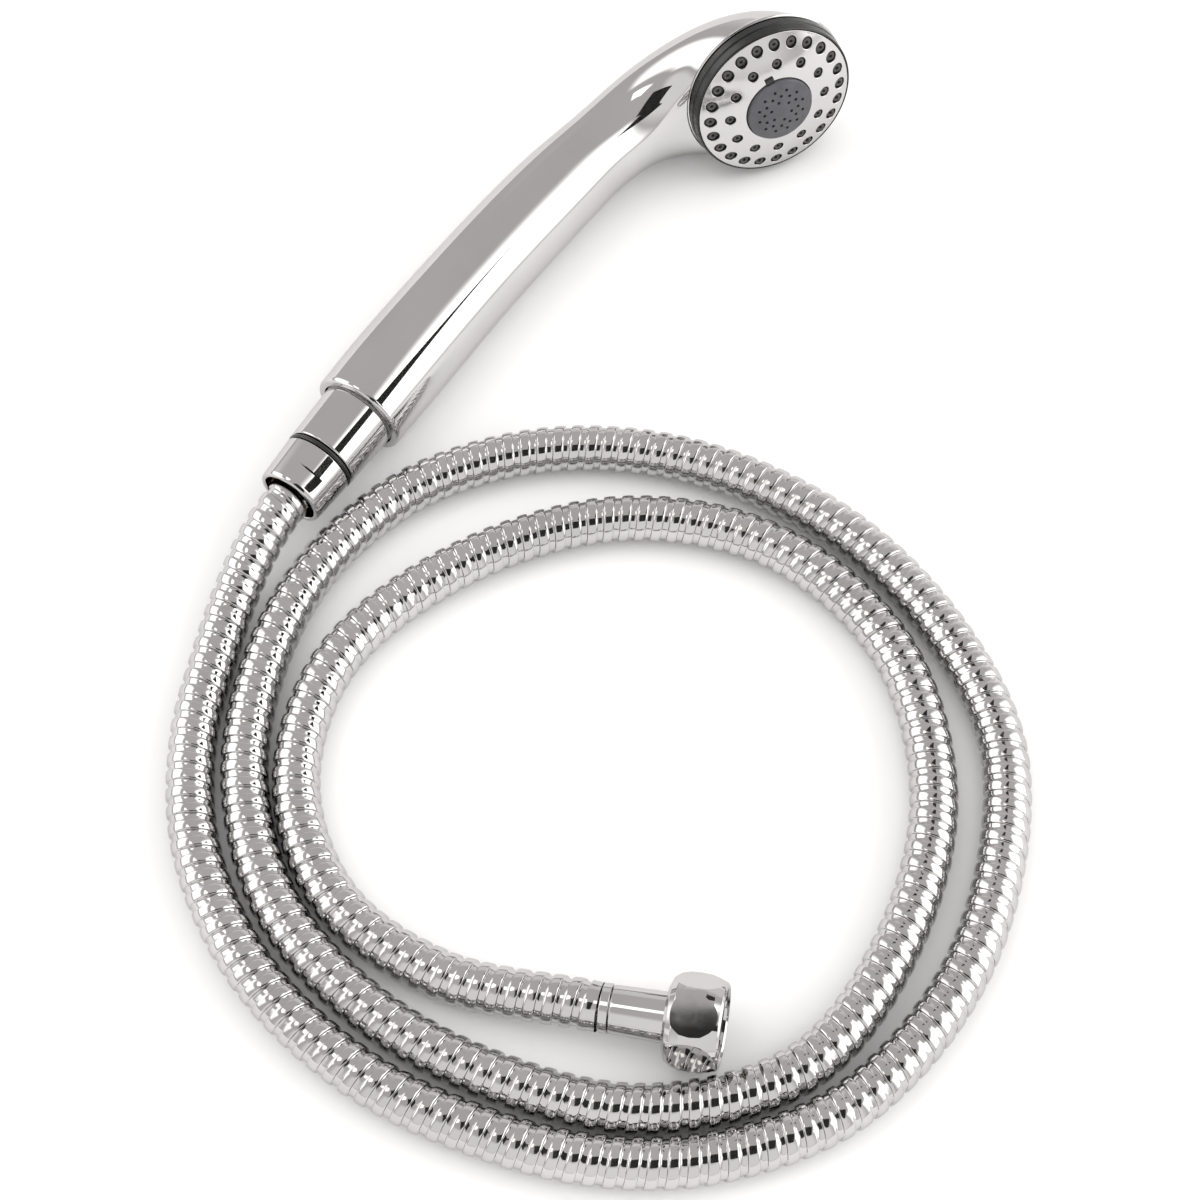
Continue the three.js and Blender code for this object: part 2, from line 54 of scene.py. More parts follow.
# ---- layout, as in the CAD model ------------------------------------------------------------------------
LAYOUT = (0.05, 0.76, 0.03)
HANDLE_END = (-77, 23.6, 15.05)
ROLL = math.radians(15.8)
FACE_CENTRE = (162.1, -49.8, 0)
SPRAY_TURN = math.radians(-124)
FACE_TURN = math.radians(95.3)
TAIL_CENTRE = (-181.2, -162.6, 13.3)
TAIL_HEADING = math.radians(-67.5)
TAIL_PITCH = math.radians(4.5)

spray = Vector((math.cos(SPRAY_TURN), math.sin(SPRAY_TURN), 0))
sideways = Vector((0, 0, 1))
head_top = sideways.cross(spray)

PART = Matrix.Translation(LAYOUT)
HANDSET = PART @ Matrix.Translation(HANDLE_END) @ Matrix.Rotation(-ROLL, 4, "X")
INLET = HANDSET @ Matrix.Rotation(-math.pi / 2, 4, "Y")
HEAD = HANDSET @ Matrix.Translation(FACE_CENTRE) @ Matrix((head_top, sideways, spray)).transposed().to_4x4()
FACE = HEAD @ Matrix.Rotation(FACE_TURN, 4, "Z")
TAIL = (PART @ Matrix.Translation(TAIL_CENTRE) @ Matrix.Rotation(TAIL_HEADING, 4, "Z")
        @ Matrix.Rotation(math.pi / 2 - TAIL_PITCH, 4, "Y"))

# ---- camera ---------------------------------------------------------------------------------------------
LOOK_AT = Vector((-83.2, -68.1, 0)) + Vector(LAYOUT)
CAMERA_AT = Vector((-353.7, -245.1, 620.9)) + Vector(LAYOUT)


def make_camera():
    data = bpy.data.cameras.new("camera")
    data.lens, data.sensor_width = 70.56, 36
    data.clip_start, data.clip_end = 0.01, 20
    camera = bpy.data.objects.new("camera", data)
    scene.collection.objects.link(camera)
    camera.location = CAMERA_AT * MM
    camera.rotation_euler = (LOOK_AT - CAMERA_AT).to_track_quat("-Z", "Y").to_euler()
    scene.camera = camera


make_camera()


# ---- materials ------------------------------------------------------------------------------------------
class Finish:
    """A material's node tree, with short calls for what most of them use."""

    def __init__(self, name, **shader):
        self.material = bpy.data.materials.new(name)
        self.material.use_nodes = True
        self.tree = self.material.node_tree
        self.shader = self.tree.nodes["Principled BSDF"]
        self.set(**shader)
        self.position = self.tree.nodes.new("ShaderNodeTexCoord").outputs["Object"]

    def set(self, **values):
        for key, value in values.items():
            self.shader.inputs[key.replace("_", " ").title()].default_value = value
        return self

    def link(self, source, socket):
        self.tree.links.new(source, socket)

    def noise(self, scale, detail=2.0, stretch=(1, 1, 1), distortion=0.0):
        mapping = self.tree.nodes.new("ShaderNodeMapping")
        mapping.inputs["Scale"].default_value = stretch
        self.link(self.position, mapping.inputs["Vector"])
        node = self.tree.nodes.new("ShaderNodeTexNoise")
        node.inputs["Scale"].default_value = scale
        node.inputs["Detail"].default_value = detail
        node.inputs["Distortion"].default_value = distortion
        self.link(mapping.outputs[0], node.inputs["Vector"])
        return node.outputs["Fac"]

    def ramp(self, source, *stops):
        node = self.tree.nodes.new("ShaderNodeValToRGB")
        elements = node.color_ramp.elements
        while len(elements) < len(stops):
            elements.new(0.5)
        for element, (place, value) in zip(elements, stops):
            colour = (value, value, value) if isinstance(value, (int, float)) else value
            element.position, element.color = place, (*colour, 1)
        self.link(source, node.inputs[0])
        return node.outputs["Color"]

    def tint(self, source, *stops):
        self.link(self.ramp(source, *stops), self.shader.inputs["Base Color"])
        return self

    def gloss(self, source, *stops):
        self.link(self.ramp(source, *stops), self.shader.inputs["Roughness"])
        return self

    def bump(self, source, height, strength=1.0):
        node = self.tree.nodes.new("ShaderNodeBump")
        node.inputs["Distance"].default_value = height * MM
        node.inputs["Strength"].default_value = strength
        self.link(source, node.inputs["Height"])
        last = self.shader.inputs["Normal"]
        if last.is_linked:
            self.link(last.links[0].from_socket, node.inputs["Normal"])
        self.link(node.outputs["Normal"], last)
        return self


def chrome(name, low, high, rough, ripple):
    finish = Finish(name, metallic=1.0, specular_tint=(0.8, 0.79, 0.79, 1))
    finish.tint(finish.noise(38, 3), (0.3, low), (0.7, high))
    finish.gloss(finish.noise(160, 4, distortion=0.4), (0.35, rough[0]), (0.75, rough[1]))
    finish.bump(finish.noise(55, 1), ripple, 0.5)
    return finish.material


def plastic(name, low, high, rough, grain, scale):
    finish = Finish(name, metallic=0.0)
    finish.tint(finish.noise(260, 3), (0.3, low), (0.7, high))
    finish.gloss(finish.noise(420, 3), (0.3, rough[0]), (0.7, rough[1]))
    finish.bump(finish.noise(scale, 3), grain, 0.6)
    return finish.material


def warm(value, tone=1.0):
    return (value, value * (1 - 0.008 * tone), value * (1 - 0.014 * tone))


SLOTS = {
    "shell_chrome": chrome("shell_chrome", warm(0.57), warm(0.61), (0.03, 0.07), 0.012),
    "plate_chrome": chrome("plate_chrome", warm(0.58), warm(0.64), (0.08, 0.15), 0.006),
    "fitting_chrome": chrome("fitting_chrome", warm(0.56), warm(0.61), (0.03, 0.08), 0.006),
    "hose_chrome": chrome("hose_chrome", warm(0.55), warm(0.62), (0.05, 0.12), 0.006),
    "black_plastic": plastic("black_plastic", 0.008, 0.016, (0.22, 0.34), 0.010, 900),
    "grey_plastic": plastic("grey_plastic", (0.072, 0.072, 0.08), (0.092, 0.092, 0.102), (0.42, 0.56), 0.02, 1600),
    "nozzle_rubber": plastic("nozzle_rubber", (0.055, 0.052, 0.052), (0.08, 0.075, 0.075), (0.5, 0.66), 0.02, 1300),
    "inner_plastic": plastic("inner_plastic", (0.62, 0.62, 0.6), (0.7, 0.7, 0.68), (0.35, 0.5), 0.01, 700),
    "seal_rubber": plastic("seal_rubber", 0.012, 0.022, (0.5, 0.7), 0.03, 1100),
    "stem_brass": chrome("stem_brass", (0.72, 0.5, 0.22), (0.83, 0.6, 0.3), (0.2, 0.34), 0.01),
    "hardware_steel": chrome("hardware_steel", warm(0.5), warm(0.6), (0.2, 0.36), 0.01),
}
for subpart in frame["record"]["subparts"]:
    node = frame["nodes"][subpart["node"]]
    node.data.materials.clear()
    node.data.materials.append(SLOTS[subpart["material_slot"]])


# ---- making meshes --------------------------------------------------------------------------------------
def piece(name, points, faces, place, body, slot, replaces=(), sharp=38, weighted=False):
    """A finished piece from points in millimetres, in the frame that place puts into the part's frame."""
    points = np.asarray(points, float).reshape(-1, 3)
    turn = np.array(place)
    world = (points @ turn[:3, :3].T + turn[:3, 3]) * MM
    mesh = bpy.data.meshes.new(name)
    mesh.from_pydata(world.tolist(), [], faces)
    mesh.validate()
    mesh.update()
    mesh.shade_smooth()
    mesh.set_sharp_from_angle(angle=math.radians(sharp))
    mesh.materials.append(SLOTS[slot])
    made = bpy.data.objects.new(name, mesh)
    scene.collection.objects.link(made)
    if weighted:
        modifier = made.modifiers.new("even_normals", "WEIGHTED_NORMAL")
        modifier.keep_sharp = True
    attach(made, body)
    if replaces:
        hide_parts(*replaces)
    return made


def rounded(corners, steps=4, support=0.12):
    """A profile from corners (radius, z) or (radius, z, fillet).

    Each fillet becomes an arc, held by a point either side.
    """
    corners = [(*c, 0) if len(c) == 2 else c for c in corners]
    closed = corners[0][:2] == corners[-1][:2]
    if closed:
        corners = corners[:-1]
    out = []
    count = len(corners)
    for i, (x, y, fillet) in enumerate(corners):
        here = Vector((x, y))
        if fillet <= 0 or (not closed and i in (0, count - 1)):
            out.append((x, y))
            continue
        back = Vector(corners[i - 1][:2]) - here
        ahead = Vector(corners[(i + 1) % count][:2]) - here
        half = back.angle(ahead) / 2
        reach = min(fillet / math.tan(half), 0.49 * back.length, 0.49 * ahead.length)
        radius = reach * math.tan(half)
        back_length, ahead_length = back.length, ahead.length
        back.normalize()
        ahead.normalize()
        centre = here + (back + ahead).normalized() * (radius / math.sin(half))
        start, end = here + back * reach, here + ahead * reach
        if back_length > 2.2 * reach + support:
            out.append(tuple(here + back * (reach + support)))
        for k in range(steps + 1):
            blend = start.lerp(end, k / steps) - centre
            out.append(tuple(centre + blend.normalized() * radius))
        if ahead_length > 2.2 * reach + support:
            out.append(tuple(here + ahead * (reach + support)))
    if closed:
        out.append(out[0])
    return out


def lathe(profile, segments=112):
    """Points and faces of a profile of (radius, z) turned about z. A point on the axis is made once."""
    closed = len(profile) > 2 and math.dist(profile[0], profile[-1]) < 1e-9
    if closed:
        profile = profile[:-1]
    points, rows = [], []
    for radius, z in profile:
        if radius < 1e-6:
            rows.append([len(points)] * segments)
            points.append((0, 0, z))
            continue
        rows.append(list(range(len(points), len(points) + segments)))
        for j in range(segments):
            angle = j / segments * TAU
            points.append((radius * math.cos(angle), radius * math.sin(angle), z))
    faces = []
    pairs = list(zip(rows, rows[1:])) + ([(rows[-1], rows[0])] if closed else [])
    for low, high in pairs:
        for j in range(segments):
            k = (j + 1) % segments
            loop = [low[j], low[k], high[k], high[j]]
            face = [v for n, v in enumerate(loop) if v not in loop[:n]]
            if len(face) > 2:
                faces.append(face)
    return points, faces


def turned(name, corners, place, body, slot, replaces=(), segments=112, steps=4, **more):
    points, faces = lathe(rounded(corners, steps), segments)
    return piece(name, points, faces, place, body, slot, replaces, **more)


def grid_faces(rows, columns, closed_columns=True):
    faces = []
    for i in range(rows - 1):
        for j in range(columns if closed_columns else columns - 1):
            k = (j + 1) % columns
            faces.append((i * columns + j, i * columns + k, (i + 1) * columns + k, (i + 1) * columns + j))
    return faces


def boolean(base, cutter, operation):
    """base with cutter taken away or kept in common; the cutter is removed."""
    modifier = base.modifiers.new("cut", "BOOLEAN")
    modifier.operation, modifier.solver, modifier.object = operation, "EXACT", cutter
    depsgraph = bpy.context.evaluated_depsgraph_get()
    mesh = bpy.data.meshes.new_from_object(base.evaluated_get(depsgraph))
    base.modifiers.remove(modifier)
    old, base.data = base.data, mesh
    bpy.data.meshes.remove(old)
    bpy.data.objects.remove(cutter)


def bare_object(name, points, faces, place):
    turn = np.array(place)
    world = (np.asarray(points, float) @ turn[:3, :3].T + turn[:3, 3]) * MM
    mesh = bpy.data.meshes.new(name)
    mesh.from_pydata(world.tolist(), [], faces)
    mesh.update()
    made = bpy.data.objects.new(name, mesh)
    scene.collection.objects.link(made)
    bpy.context.view_layer.update()
    return made


# ---- curves ---------------------------------------------------------------------------------------------
def natural_spline(knots, values):
    """A function of t through values at knots, with continuous curvature."""
    knots, values = np.asarray(knots, float), np.asarray(values, float)
    gap = np.diff(knots)
    count = len(knots)
    system, right = np.eye(count), np.zeros_like(values)
    for i in range(1, count - 1):
        system[i, i - 1:i + 2] = gap[i - 1], 2 * (gap[i - 1] + gap[i]), gap[i]
        right[i] = 6 * ((values[i + 1] - values[i]) / gap[i] - (values[i] - values[i - 1]) / gap[i - 1])
    bend = np.linalg.solve(system, right)

    def at(t):
        t = np.atleast_1d(t)
        i = np.clip(np.searchsorted(knots, t) - 1, 0, count - 2)
        a, b, h = (knots[i + 1] - t)[:, None], (t - knots[i])[:, None], gap[i][:, None]
        return (bend[i] * a ** 3 / (6 * h) + bend[i + 1] * b ** 3 / (6 * h)
                + (values[i] / h - bend[i] * h / 6) * a + (values[i + 1] / h - bend[i + 1] * h / 6) * b)

    return at


def catmull_rom(points, per_span):
    """Points along the centripetal Catmull-Rom curve that the CAD model's hose follows."""
    points = [np.asarray(p, float) for p in points]
    points = [2 * points[0] - points[1], *points, 2 * points[-1] - points[-2]]
    out = []
    for a, b, c, d in zip(points, points[1:], points[2:], points[3:]):
        first, mid, last = (np.linalg.norm(q - p) ** 0.5 for p, q in ((a, b), (b, c), (c, d)))
        leave = ((b - a) / first - (c - a) / (first + mid) + (c - b) / mid) * mid
        arrive = ((c - b) / mid - (d - b) / (mid + last) + (d - c) / last) * mid
        for t in np.arange(per_span) / per_span:
            out.append(b + leave * t + (3 * (c - b) - 2 * leave - arrive) * t ** 2
                       + (2 * (b - c) + leave + arrive) * t ** 3)
    out.append(points[-2])
    return np.array(out)


# ---- hose -----------------------------------------------------------------------------------------------
HOSE_HEIGHT = 7.1
HOSE_ROUTE = [
    (-109.3, 23.6, 15.05), (-121, 23.5, 14.2), (-134, 21.9, 11.7), (-148, 18.6, 8.8), (-164, 13, 7.3),
    (-186, 3.2), (-209.5, -14.5), (-225.5, -36), (-236.2, -62), (-240.4, -95),
    (-237, -124), (-226.9, -156.4), (-208.2, -184.8), (-174.6, -208.9), (-122, -215.2),
    (-66.3, -194.5), (-40, -160.5), (-26.6, -117), (-31, -68), (-51.5, -29),
    (-84, -3), (-121, 5.8), (-157, -0.2), (-190, -17.9), (-214.5, -47.2),
    (-224.4, -84), (-221.8, -123), (-206.2, -164.1), (-173.5, -192.7), (-130, -196.3),
    (-86, -182.5), (-53, -149.5), (-42.9, -104), (-59, -61.5), (-98, -29.5),
    (-145, -16.9), (-182.5, -30.4), (-204.3, -60), (-206.2, -96, 7.3), (-191.1, -138.7, 11.3),
]
HOSE_PITCH = 5.15
HOSE_SIDES = 30
# one turn of the wound strip: share of the pitch, radius
HOSE_BAND = [(0.0, 6.18), (0.018, 6.25), (0.03, 6.7), (0.055, 6.83), (0.15, 6.9), (0.33, 6.965), (0.51, 6.9),
             (0.6, 6.83), (0.625, 6.7), (0.637, 6.25), (0.655, 6.17), (0.82, 6.2), (0.97, 6.17)]


def hose_line():
    route = [Vector((*p[:2], p[2] if len(p) > 2 else HOSE_HEIGHT)) + Vector(LAYOUT) for p in HOSE_ROUTE]
    line = catmull_rom(route, 40)
    steps = np.linalg.norm(np.diff(line, axis=0), axis=1)
    return line, np.concatenate([[0], np.cumsum(steps)])


def make_hose():
    line, along = hose_line()
    length = along[-1]
    turns = int(length / HOSE_PITCH)
    pitch = length / turns
    band = np.array(HOSE_BAND)
    starts = np.concatenate([band[:, 0] + k for k in range(-1, turns)]) * pitch
    radii = np.tile(band[:, 1], turns + 1)
    columns = np.arange(HOSE_SIDES) / HOSE_SIDES
    place = starts[:, None] + columns[None, :] * pitch
    ends = np.minimum(place, length - place).clip(0, None)
    radius = np.where(ends < 2.2, 6.75, radii[:, None])
    place = place.clip(0, length)
    centre = np.stack([np.interp(place, along, line[:, i]) for i in range(3)], axis=-1)
    slope = np.gradient(line, along, axis=0)
    ahead = np.stack([np.interp(place, along, slope[:, i]) for i in range(3)], axis=-1)
    ahead /= np.linalg.norm(ahead, axis=-1, keepdims=True)
    side = np.cross(ahead, (0, 0, 1))
    side /= np.linalg.norm(side, axis=-1, keepdims=True)
    rise = np.cross(side, ahead)
    angle = columns * TAU
    points = centre + radius[..., None] * (side * np.cos(angle)[None, :, None] + rise * np.sin(angle)[None, :, None])
    rows, per_turn = len(starts), len(band)
    faces = []
    flat = ends <= 0
    for i in range(rows - 1):
        for j in range(HOSE_SIDES):
            k, step = (j + 1) % HOSE_SIDES, 0
            if k == 0:
                step = per_turn
            if i + 1 + step >= rows:
                continue
            corners = [(i, j), (i + step, k), (i + 1 + step, k), (i + 1, j)]
            if all(flat[c] for c in corners):
                continue
            faces.append([r * HOSE_SIDES + c for r, c in corners])
    made = piece("hose", points, faces, Matrix.Identity(4), "hose", "hose_chrome", ["hose_tube"], sharp=60)
    return made, line * MM, length * MM


hose, hose_path, hose_length = make_hose()


# ---- handset shell --------------------------------------------------------------------------------------
STATIONS = [
    (0, -14.6, 0, 14.6, 14.6), (18, -15, 18, 15, 15), (51, -15.5, 52, 14, 14.8), (78, -16.8, 80, 12.3, 14.6),
    (104, -18.9, 107, 9.1, 14.1), (119.5, -20.6, 129, 4.2, 14), (131, -23.6, 153, -2.6, 16.3),
    (138.5, -26.3, 176.5, -20.5, 21.8), (141.8, -28.1, 188, -42.5, 25.6),
]
RIM_BACK, RIM_RADIUS, SHELL_WALL, LIP = 6.6, 27.2, 2.2, 0.75


def make_shell():
    rim = Vector(FACE_CENTRE) - spray * RIM_BACK
    front, back = rim - head_top * RIM_RADIUS, rim + head_top * RIM_RADIUS
    stations = np.array([*STATIONS, (front.x, front.y, back.x, back.y, RIM_RADIUS)], float)
    middle = (stations[:, :2] + stations[:, 2:4]) / 2
    knots = np.concatenate([[0], np.cumsum(np.linalg.norm(np.diff(middle, axis=0), axis=1) ** 0.5)])
    curve = natural_spline(knots, stations)
    behind = lambda t: (Vector((*((curve(t)[0][:2] + curve(t)[0][2:4]) / 2), 0)) - Vector(FACE_CENTRE)).dot(spray)
    low, high = knots[-2], knots[-1]
    for _ in range(40):
        half = (low + high) / 2
        low, high = (half, high) if behind(half) < -RIM_BACK - LIP else (low, half)
    start = LIP / (stations[1, 0]) * knots[1] * 0.9
    steps = np.linspace(start, low, 150)
    sections = [(row, 0.0, Vector((0, 0, 0))) for row in curve(steps)]
    arcs = [math.pi / 2 * k / 6 for k in range(1, 7)]
    first, last = curve(0)[0], curve(knots[-1])[0]
    turn_in = lambda a: LIP * (1 - math.cos(a))
    along = lambda a: LIP * (1 - math.sin(a))
    head_end = [(last, turn_in(a), -spray * along(a)) for a in arcs]
    inlet_end = [(first, turn_in(a), Vector((along(a), 0, 0))) for a in arcs][::-1]
    inner_front = [(first, SHELL_WALL, Vector((0.0, 0, 0)))]
    inner = [(row, SHELL_WALL, Vector((0, 0, 0))) for row in curve(np.linspace(0, knots[-1], 60))][::-1]
    rings = inner_front + inlet_end + sections + head_end + inner
    columns = 144
    points = []
    for (x0, y0, x1, y1, width), inset, shift in rings:
        middle, half = Vector(((x0 + x1) / 2, (y0 + y1) / 2, 0)), Vector(((x1 - x0) / 2, (y1 - y0) / 2, 0))
        half.length -= inset
        for j in range(columns):
            angle = j / columns * TAU
            points.append(middle + shift + half * math.cos(angle) + sideways * ((width - inset) * math.sin(angle)))
    faces = grid_faces(len(rings), columns)
    piece("handle_body", points, faces, HANDSET, "handset", "shell_chrome", ["handle_shell"], sharp=50)


make_shell()

# ---- connector at the handle's end ----------------------------------------------------------------------
turned("collar", [(11.95, 0.4, 0.35), (11.35, 18.5, 0.5), (7.2, 18.5, 0), (7.2, 16.9, 0), (10.55, 16.9, 0),
                  (10.55, 0.4, 0.1), (11.95, 0.4, 0.35)], INLET, "handset", "fitting_chrome", ["collar_nut"])
turned("black_ring", [(11.0, 18.85, 0.2), (11.35, 19.5, 0.4), (11.0, 20.15, 0.2), (7.1, 20.15, 0), (7.1, 18.85, 0),
                      (11.0, 18.85, 0.2)], INLET, "handset", "black_plastic", ["slip_ring"])

CONE = [(10.9, 20.4, 0.2), (11.15, 20.7, 0.2), (10.42, 33.5, 0.5), (10.1, 34.75, 0.7), (8.75, 34.75, 0.5),
        (8.6, 24.1, 0), (7.0, 24.1, 0), (7.0, 20.4, 0), (10.9, 20.4, 0.2)]
CONE_FLAT = {"distance": 9.85, "turn": math.radians(-39.8), "from": 27.6, "to": 33.2}


def box_points(low, high):
    points = [(x, y, z) for x in (low[0], high[0]) for y in (low[1], high[1]) for z in (low[2], high[2])]
    faces = [(0, 1, 3, 2), (4, 6, 7, 5), (0, 4, 5, 1), (2, 3, 7, 6), (0, 2, 6, 4), (1, 5, 7, 3)]
    return points, faces


def make_cone():
    cone = turned("cone", CONE, INLET, "hose", "fitting_chrome", ["cone_nut"], segments=160)
    for side in (0, math.pi):
        points, faces = box_points((CONE_FLAT["distance"], -10, CONE_FLAT["from"]),
                                   (CONE_FLAT["distance"] + 4, 10, CONE_FLAT["to"]))
        turn = INLET @ Matrix.Rotation(CONE_FLAT["turn"] + side, 4, "Z")
        boolean(cone, bare_object("cutter", points, faces, turn), "DIFFERENCE")
    cone.data.set_sharp_from_angle(angle=math.radians(25))


make_cone()

# ---- spray face -----------------------------------------------------------------------------------------
PLATE_RADIUS, PLATE_RISE, PLATE_THICKNESS = 25.75, 5.2, 1.2
INSERT_RADIUS, INSERT_PROUD, GAP = 11.0, 1.0, 0.3
OUTER_HOLES = {"count": 24, "ring": 22.4, "radius": 1.9, "turn": 0.0}
INNER_HOLES = {"count": 12, "ring": 16.3, "radius": 1.7, "turn": math.pi / 12}
PIN_RINGS = [{"count": 6, "ring": 3.57, "radius": 0.52, "turn": 0.0},
             {"count": 12, "ring": 5.78, "radius": 0.52, "turn": math.pi / 12},
             {"count": 12, "ring": 7.68, "radius": 0.52, "turn": 0.0}]


def dome(radius):
    return PLATE_RISE * (1 - (radius / PLATE_RADIUS) ** 2)


def circle(radius, count, centre=(0, 0), phase=0.0):
    angles = np.arange(count) / count * TAU + phase
    return np.stack([centre[0] + radius * np.cos(angles), centre[1] + radius * np.sin(angles)], axis=-1)


def hole_centres(rings):
    for ring in rings:
        for centre in circle(ring["ring"], ring["count"], phase=ring["turn"]):
            yield centre, ring["radius"]


def perforated(outer, inner, rings, height, wall, edge, hole_sides, depth, spacing):
    """A domed sheet with round holes: points and faces of its top, its rolled hole edges and the holes' walls."""
    flat, edges, holes = [], [], []

    def loop(points, constrained=False):
        start = len(flat)
        flat.extend(map(tuple, points))
        if constrained:
            edges.extend((start + i, start + (i + 1) % len(points)) for i in range(len(points)))
        return list(range(start, start + len(points)))

    round_outer = loop(circle(outer, 144), True)
    round_inner = loop(circle(inner, 96), True) if inner else []
    for centre, radius in hole_centres(rings):
        holes.append((centre, radius, loop(circle(radius + edge, hole_sides, centre), True)))
        for grow in (0.12, 0.5):
            loop(circle(radius + edge + grow, hole_sides, centre))
    keep = [(c, r + edge + 0.8) for c, r, _ in holes]
    rows = int((outer - inner) / spacing)
    for i in range(1, rows):
        radius = inner + (outer - inner) * i / rows
        for point in circle(radius, max(6, int(TAU * radius / spacing)), phase=i * 0.37):
            if all(math.dist(point, c) > r for c, r in keep):
                loop([point])
    for grow in (0.15, 0.4):
        loop(circle(outer - grow, 144))
        if inner:
            loop(circle(inner + grow, 96))
    flat_points, _, triangles, *_ = geometry.delaunay_2d_cdt([Vector(p) for p in flat], edges, [], 0, 1e-6)
    flat_points = np.array([tuple(p) for p in flat_points])
    kept = []
    for triangle in triangles:
        middle = flat_points[list(triangle)].mean(axis=0)
        reach = math.hypot(*middle)
        if reach > outer or (inner and reach < inner * 0.999):
            continue
        if any(math.dist(middle, c) < (r + edge) * 0.995 for c, r, _ in holes):
            continue
        kept.append(tuple(triangle))
    radii = np.hypot(flat_points[:, 0], flat_points[:, 1])
    points = [(x, y, height(r)) for (x, y), r in zip(flat_points, radii)]
    faces = list(kept)

    def find(point):
        return int(np.argmin(((flat_points - point) ** 2).sum(axis=1)))

    def wall_down(ring, shapes):
        """Rows of points below a loop of the sheet: each shape gives a row's points from the loop's."""
        above = ring
        for shape in shapes:
            row = []
            for index in ring:
                row.append(len(points))
                points.append(shape(points[index]))
            for j in range(len(ring)):
                k = (j + 1) % len(ring)
                faces.append((above[j], above[k], row[k], row[j]))
            above = row
        return above

    for centre, radius, ring in holes:
        ring = [find(flat[i]) for i in ring]
        shapes = []
        for k in range(1, 4):
            angle = math.pi / 2 * k / 3
            shapes.append((edge * (1 - math.sin(angle)), edge * (1 - math.cos(angle))))
        shapes += [(0, edge + 0.1), (0, depth)]

        def shaped(grow, drop, centre=centre, radius=radius):
            def shape(p):
                out = Vector((p[0] - centre[0], p[1] - centre[1])).normalized() * (radius + grow)
                return (centre[0] + out.x, centre[1] + out.y, p[2] - drop)
            return shape

        wall_down(ring, [shaped(g, d) for g, d in shapes])
    outside = [find(flat[i]) for i in round_outer][::-1]
    wall_down(outside, wall(outer))
    if inner:
        inside = [find(flat[i]) for i in round_inner]
        wall_down(inside, wall(inner))
    return points, faces


def lip(radius, inward, drop, depth):
    """Shapes for perforated: an edge that rolls over by drop and then goes straight down."""
    shapes = []
    for k in range(1, 5):
        angle = math.pi / 2 * k / 4
        shapes.append((drop * math.sin(angle), drop * (1 - math.cos(angle))))
    shapes += [(drop, drop + 0.12), (drop, depth)]

    def shaped(grow, fall):
        def shape(p):
            scale = (radius + inward * grow) / radius
            return (p[0] * scale, p[1] * scale, p[2] - fall)
        return shape

    return [shaped(g, f) for g, f in shapes]


KEY = {"width": 2.9, "from": 9.6, "to": 13.1}


def make_faceplate():
    outer, inner = PLATE_RADIUS - 0.2, INSERT_RADIUS + 0.45
    wall = lambda radius: lip(radius, 1 if radius > 20 else -1, 0.2, PLATE_THICKNESS)
    points, faces = perforated(outer, inner, [OUTER_HOLES, INNER_HOLES], dome, wall, 0.22, 32, 1.6, 1.3)
    piece("spray_plate", points, faces, FACE, "spray_face", "plate_chrome", ["faceplate"], sharp=50)


def make_insert():
    height = lambda radius: dome(radius) + INSERT_PROUD
    outer = INSERT_RADIUS - 0.45
    wall = lambda radius: lip(radius, 1, 0.45, 3.2)
    points, faces = perforated(outer, 0, PIN_RINGS, height, wall, 0.1, 16, 1.6, 0.9)
    piece("mist_insert", points, faces, FACE, "spray_face", "grey_plastic", ["centre_insert"], sharp=50)
    low, high = (KEY["from"] + 0.9, -KEY["width"] / 2, 3.0), (KEY["to"], KEY["width"] / 2, dome(KEY["to"]) + 0.75)
    points, faces = box_points(low, high)
    key = piece("face_key", points, faces, FACE, "spray_face", "black_plastic")
    bevel = key.modifiers.new("round", "BEVEL")
    bevel.width, bevel.segments = 0.28 * MM, 3
    # painted shade: a near-black disc under the insert that darkens the bottoms of its pinholes; it takes the seal
    # rubber's material only for its near-black colour
    floor = [(0, 3.2), (INSERT_RADIUS - 0.5, 3.0)]
    points, faces = lathe(floor, 64)
    piece("pinhole_shade_disc", points, faces, FACE, "spray_face", "seal_rubber")


def make_nozzles():
    sheet = [(radius, dome(radius) - PLATE_THICKNESS - GAP) for radius in np.linspace(24.2, 11.9, 14)]
    points, faces = lathe(sheet, 120)
    points, faces = list(points), list(faces)
    nub = rounded([(1.62, -1.3), (1.42, -0.75, 0.1), (1.3, -0.42, 0.16), (0.62, -0.42, 0.12), (0.5, -1.6)], 3)
    for rings in ([OUTER_HOLES], [INNER_HOLES]):
        for centre, radius in hole_centres(rings):
            scale = radius / 1.9
            top = dome(math.hypot(*centre))
            more, quads = lathe([(r * scale, z) for r, z in nub] + [(0, -1.6)], 24)
            start = len(points)
            points.extend((x + centre[0], y + centre[1], z + top) for x, y, z in more)
            faces.extend(tuple(start + v for v in quad) for quad in quads)
    piece("nozzles", points, faces, FACE, "spray_face", "nozzle_rubber", ["nozzle_mat"], sharp=50)


BEZEL = [(26.45, -6.3, 0.3), (26.8, -5.7, 0.4), (26.8, -3.5, 0.35), (26.35, -3.2, 0.12), (26.35, -2.9, 0.12),
         (26.72, -2.6, 0.25), (26.5, -0.35, 0.4), (26.15, 0.05, 0.15), (25.95, -0.1, 0.1), (25.9, -1.5),
         (24.9, -1.9), (24.9, -6.3), (26.45, -6.3, 0.3)]

make_faceplate()
make_insert()
make_nozzles()
turned("bezel", BEZEL, FACE, "spray_face", "black_plastic", ["bezel_ring"], segments=144)

